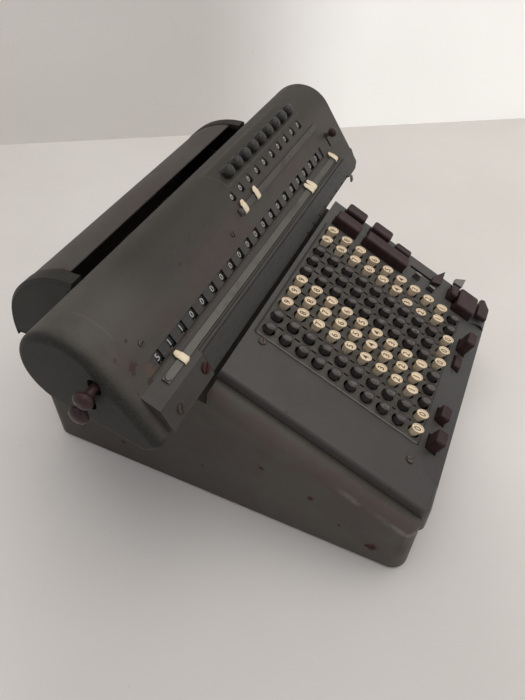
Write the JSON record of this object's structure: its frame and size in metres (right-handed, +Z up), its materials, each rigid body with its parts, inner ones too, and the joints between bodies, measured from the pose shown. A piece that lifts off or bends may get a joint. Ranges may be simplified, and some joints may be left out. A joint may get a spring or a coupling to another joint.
{
  "type": "electromechanical calculator",
  "caption": "Desk-top electromechanical calculator with a full bank of sloping digit keys, function keys, and a sliding hooded carriage with two rows of number windows.",
  "frame": {"origin": "on the table plane below the middle of the machine's outer box", "axes": "+X along the carriage, to the right of a person at the keys; +Y towards the back of the machine; +Z up"},
  "size_m": [0.4535, 0.3708, 0.2431],
  "materials": {
    "housing_enamel": "semi-matt stoved enamel, dark greenish grey, worn at the edges",
    "cover_enamel": "smooth semi-gloss dark grey enamel",
    "plate_black": "matt black enamel",
    "frame_steel": "oiled steel",
    "rail_steel": "satin ground steel, slightly tarnished",
    "motor_black": "black lacquer on iron",
    "screw_steel": "blued steel, worn",
    "foot_rubber": "matt black rubber",
    "key_cream": "aged cream moulding, satin",
    "key_dark": "near-black moulding, satin",
    "key_brown": "dark red-brown phenolic moulding, satin",
    "lever_steel": "plated steel, dulled",
    "knob_black": "black moulding, satin",
    "wheel_black": "black numeral wheels",
    "marker_cream": "aged cream moulding"
  },
  "bodies": {
    "base": {"base_housing": "housing_enamel", "bottom_plate": "frame_steel", "rubber_feet": "foot_rubber", "keyboard_cover": "cover_enamel", "key_plate": "plate_black", "cover_screws": "screw_steel", "rear_cover": "housing_enamel", "rear_cover_ends": "housing_enamel", "carriage_rails": "frame_steel", "mechanism_frame": "frame_steel", "drive_motor": "motor_black"},
    "carriage": {"carriage_hood": "housing_enamel", "carriage_frame": "frame_steel", "front_casting": "housing_enamel", "scale_band": "rail_steel", "window_strip": "plate_black", "wheel_shafts": "frame_steel", "accumulator_rail": "rail_steel", "counter_rail": "rail_steel", "carriage_screws": "screw_steel"},
    "digit_keys_1_to_2": {"digit_keys_1_to_2": "key_dark"},
    "digit_keys_3_to_5": {"digit_keys_3_to_5": "key_cream"},
    "digit_keys_6_to_8": {"digit_keys_6_to_8": "key_dark"},
    "digit_keys_9_to_10": {"digit_keys_9_to_10": "key_cream"},
    "minus_key": {"minus_key": "key_brown"},
    "divide_key": {"divide_key": "key_brown"},
    "plus_bar": {"plus_bar": "key_brown"},
    "multiply_key": {"multiply_key": "key_brown"},
    "repeat_key": {"repeat_key": "key_brown"},
    "clear_key": {"clear_key": "key_brown"},
    "total_bar": {"total_bar": "key_brown"},
    "shift_left_key": {"shift_left_key": "key_brown"},
    "shift_right_key": {"shift_right_key": "key_brown"},
    "stop_key": {"stop_key": "key_brown"},
    "start_key": {"start_key": "key_brown"},
    "thumb_key": {"thumb_key": "key_brown"},
    "release_lever": {"release_lever": "lever_steel"},
    "indicator_levers": {"indicator_levers": "lever_steel"},
    "slider_lever": {"slider_lever": "key_brown"},
    "main_shaft": {"main_shaft": "frame_steel"},
    "accumulator_wheels": {"accumulator_wheels": "wheel_black"},
    "counter_wheels": {"counter_wheels": "wheel_black"},
    "setting_knob_1": {"setting_knob_1": "knob_black"},
    "setting_knob_2": {"setting_knob_2": "knob_black"},
    "setting_knob_3": {"setting_knob_3": "knob_black"},
    "setting_knob_4": {"setting_knob_4": "knob_black"},
    "setting_knob_5": {"setting_knob_5": "knob_black"},
    "setting_knob_6": {"setting_knob_6": "knob_black"},
    "setting_knob_7": {"setting_knob_7": "knob_black"},
    "setting_knob_8": {"setting_knob_8": "knob_black"},
    "setting_knob_9": {"setting_knob_9": "knob_black"},
    "accumulator_marker_left": {"accumulator_marker_left": "marker_cream"},
    "accumulator_marker_pair": {"accumulator_marker_pair": "marker_cream"},
    "accumulator_marker_right": {"accumulator_marker_right": "marker_cream"},
    "counter_marker_left": {"counter_marker_left": "marker_cream"},
    "counter_marker_right": {"counter_marker_right": "marker_cream"},
    "upper_clearing_knob": {"upper_clearing_knob": "key_brown"},
    "lower_clearing_knob": {"lower_clearing_knob": "key_brown"},
    "shift_lever": {"shift_lever": "key_brown"},
    "tab_lever": {"tab_lever": "lever_steel"}
  },
  "joints": [
    {"name": "carriage_travel", "type": "slide", "parent": "base", "child": "carriage", "axis": [1, 0, 0], "range_m": [-0.033, 0.099]},
    {"name": "digit_press_1_to_2", "type": "slide", "parent": "base", "child": "digit_keys_1_to_2", "axis": [0, -0.4289, 0.9033], "range_m": [-0.0059, 0], "stiffness_N_per_m": 400, "springref_m": 0.004},
    {"name": "digit_press_3_to_5", "type": "slide", "parent": "base", "child": "digit_keys_3_to_5", "axis": [0, -0.4289, 0.9033], "range_m": [-0.0059, 0], "stiffness_N_per_m": 400, "springref_m": 0.004},
    {"name": "digit_press_6_to_8", "type": "slide", "parent": "base", "child": "digit_keys_6_to_8", "axis": [0, -0.4289, 0.9033], "range_m": [-0.0059, 0], "stiffness_N_per_m": 400, "springref_m": 0.004},
    {"name": "digit_press_9_to_10", "type": "slide", "parent": "base", "child": "digit_keys_9_to_10", "axis": [0, -0.4289, 0.9033], "range_m": [-0.0059, 0], "stiffness_N_per_m": 400, "springref_m": 0.004},
    {"name": "minus_key_press", "type": "slide", "parent": "base", "child": "minus_key", "axis": [0, -0.4289, 0.9033], "range_m": [-0.0055, 0], "stiffness_N_per_m": 150, "springref_m": 0.006},
    {"name": "divide_key_press", "type": "slide", "parent": "base", "child": "divide_key", "axis": [0, -0.4289, 0.9033], "range_m": [-0.0055, 0], "stiffness_N_per_m": 150, "springref_m": 0.006},
    {"name": "plus_bar_press", "type": "slide", "parent": "base", "child": "plus_bar", "axis": [0, -0.4289, 0.9033], "range_m": [-0.0055, 0], "stiffness_N_per_m": 150, "springref_m": 0.006},
    {"name": "multiply_key_press", "type": "slide", "parent": "base", "child": "multiply_key", "axis": [0, -0.4289, 0.9033], "range_m": [-0.0055, 0], "stiffness_N_per_m": 150, "springref_m": 0.006},
    {"name": "repeat_key_press", "type": "slide", "parent": "base", "child": "repeat_key", "axis": [0, -0.4289, 0.9033], "range_m": [-0.0055, 0], "stiffness_N_per_m": 150, "springref_m": 0.006},
    {"name": "clear_key_press", "type": "slide", "parent": "base", "child": "clear_key", "axis": [0, -0.4289, 0.9033], "range_m": [-0.0055, 0], "stiffness_N_per_m": 150, "springref_m": 0.006},
    {"name": "total_bar_press", "type": "slide", "parent": "base", "child": "total_bar", "axis": [0, -0.4289, 0.9033], "range_m": [-0.0055, 0], "stiffness_N_per_m": 150, "springref_m": 0.006},
    {"name": "shift_left_key_press", "type": "slide", "parent": "base", "child": "shift_left_key", "axis": [0, -0.4289, 0.9033], "range_m": [-0.0055, 0], "stiffness_N_per_m": 150, "springref_m": 0.006},
    {"name": "shift_right_key_press", "type": "slide", "parent": "base", "child": "shift_right_key", "axis": [0, -0.4289, 0.9033], "range_m": [-0.0055, 0], "stiffness_N_per_m": 150, "springref_m": 0.006},
    {"name": "stop_key_press", "type": "slide", "parent": "base", "child": "stop_key", "axis": [0, -0.4289, 0.9033], "range_m": [-0.004, 0], "stiffness_N_per_m": 150, "springref_m": 0.006},
    {"name": "start_key_press", "type": "slide", "parent": "base", "child": "start_key", "axis": [0, -0.4289, 0.9033], "range_m": [-0.0055, 0], "stiffness_N_per_m": 150, "springref_m": 0.006},
    {"name": "thumb_key_press", "type": "slide", "parent": "base", "child": "thumb_key", "axis": [0, -0.4289, 0.9033], "range_m": [-0.0028, 0], "stiffness_N_per_m": 120, "springref_m": 0.006},
    {"name": "release_lever_press", "type": "slide", "parent": "base", "child": "release_lever", "axis": [0, -0.4289, 0.9033], "range_m": [-0.004, 0], "stiffness_N_per_m": 120, "springref_m": 0.006},
    {"name": "indicator_levers_press", "type": "slide", "parent": "base", "child": "indicator_levers", "axis": [0, -0.4289, 0.9033], "range_m": [-0.002, 0], "stiffness_N_per_m": 120, "springref_m": 0.006},
    {"name": "slider_travel", "type": "slide", "parent": "base", "child": "slider_lever", "axis": [0, 0.9033, 0.4289], "range_m": [0, 0.025]},
    {"name": "main_shaft_turn", "type": "hinge", "parent": "base", "child": "main_shaft", "pos_m": [0, 0.06, 0.072], "axis": [1, 0, 0], "continuous": true},
    {"name": "accumulator_turn", "type": "hinge", "parent": "carriage", "child": "accumulator_wheels", "pos_m": [0, 0.03682, 0.18567], "axis": [1, 0, 0], "continuous": true},
    {"name": "counter_turn", "type": "hinge", "parent": "carriage", "child": "counter_wheels", "pos_m": [0, 0.05696, 0.21916], "axis": [1, 0, 0], "continuous": true},
    {"name": "setting_knob_1_turn", "type": "hinge", "parent": "carriage", "child": "setting_knob_1", "pos_m": [0.0192, 0.05757, 0.23918], "axis": [0, -0.8221, 0.5693], "continuous": true},
    {"name": "setting_knob_2_turn", "type": "hinge", "parent": "carriage", "child": "setting_knob_2", "pos_m": [0.0357, 0.05757, 0.23918], "axis": [0, -0.8221, 0.5693], "continuous": true},
    {"name": "setting_knob_3_turn", "type": "hinge", "parent": "carriage", "child": "setting_knob_3", "pos_m": [0.0522, 0.05757, 0.23918], "axis": [0, -0.8221, 0.5693], "continuous": true},
    {"name": "setting_knob_4_turn", "type": "hinge", "parent": "carriage", "child": "setting_knob_4", "pos_m": [0.0687, 0.05757, 0.23918], "axis": [0, -0.8221, 0.5693], "continuous": true},
    {"name": "setting_knob_5_turn", "type": "hinge", "parent": "carriage", "child": "setting_knob_5", "pos_m": [0.0852, 0.05757, 0.23918], "axis": [0, -0.8221, 0.5693], "continuous": true},
    {"name": "setting_knob_6_turn", "type": "hinge", "parent": "carriage", "child": "setting_knob_6", "pos_m": [0.1017, 0.05757, 0.23918], "axis": [0, -0.8221, 0.5693], "continuous": true},
    {"name": "setting_knob_7_turn", "type": "hinge", "parent": "carriage", "child": "setting_knob_7", "pos_m": [0.1182, 0.05757, 0.23918], "axis": [0, -0.8221, 0.5693], "continuous": true},
    {"name": "setting_knob_8_turn", "type": "hinge", "parent": "carriage", "child": "setting_knob_8", "pos_m": [0.1347, 0.05757, 0.23918], "axis": [0, -0.8221, 0.5693], "continuous": true},
    {"name": "setting_knob_9_turn", "type": "hinge", "parent": "carriage", "child": "setting_knob_9", "pos_m": [0.1512, 0.05757, 0.23918], "axis": [0, -0.8221, 0.5693], "continuous": true},
    {"name": "accumulator_marker_left_travel", "type": "slide", "parent": "carriage", "child": "accumulator_marker_left", "axis": [1, 0, 0], "range_m": [-0.014, 0.11]},
    {"name": "accumulator_marker_pair_travel", "type": "slide", "parent": "carriage", "child": "accumulator_marker_pair", "axis": [1, 0, 0], "range_m": [-0.12, 0.02]},
    {"name": "accumulator_marker_right_travel", "type": "slide", "parent": "carriage", "child": "accumulator_marker_right", "axis": [1, 0, 0], "range_m": [-0.03, 0]},
    {"name": "counter_marker_left_travel", "type": "slide", "parent": "carriage", "child": "counter_marker_left", "axis": [1, 0, 0], "range_m": [0, 0.012]},
    {"name": "counter_marker_right_travel", "type": "slide", "parent": "carriage", "child": "counter_marker_right", "axis": [1, 0, 0], "range_m": [-0.004, 0.13]},
    {"name": "upper_clearing_press", "type": "slide", "parent": "carriage", "child": "upper_clearing_knob", "axis": [1, 0, 0], "range_m": [0, 0.006], "stiffness_N_per_m": 250, "springref_m": -0.004},
    {"name": "lower_clearing_press", "type": "slide", "parent": "carriage", "child": "lower_clearing_knob", "axis": [1, 0, 0], "range_m": [0, 0.006], "stiffness_N_per_m": 250, "springref_m": -0.004},
    {"name": "shift_lever_travel", "type": "slide", "parent": "carriage", "child": "shift_lever", "axis": [0, 0.5693, 0.8221], "range_m": [-0.0105, 0], "stiffness_N_per_m": 80, "springref_m": 0.006},
    {"name": "tab_lever_turn", "type": "hinge", "parent": "carriage", "child": "tab_lever", "pos_m": [0.1865, -0.0039, 0.1405], "axis": [1, 0, 0], "range_deg": [0, 12], "stiffness_Nm_per_rad": 0.05, "springref_deg": -11.46}
  ]
}
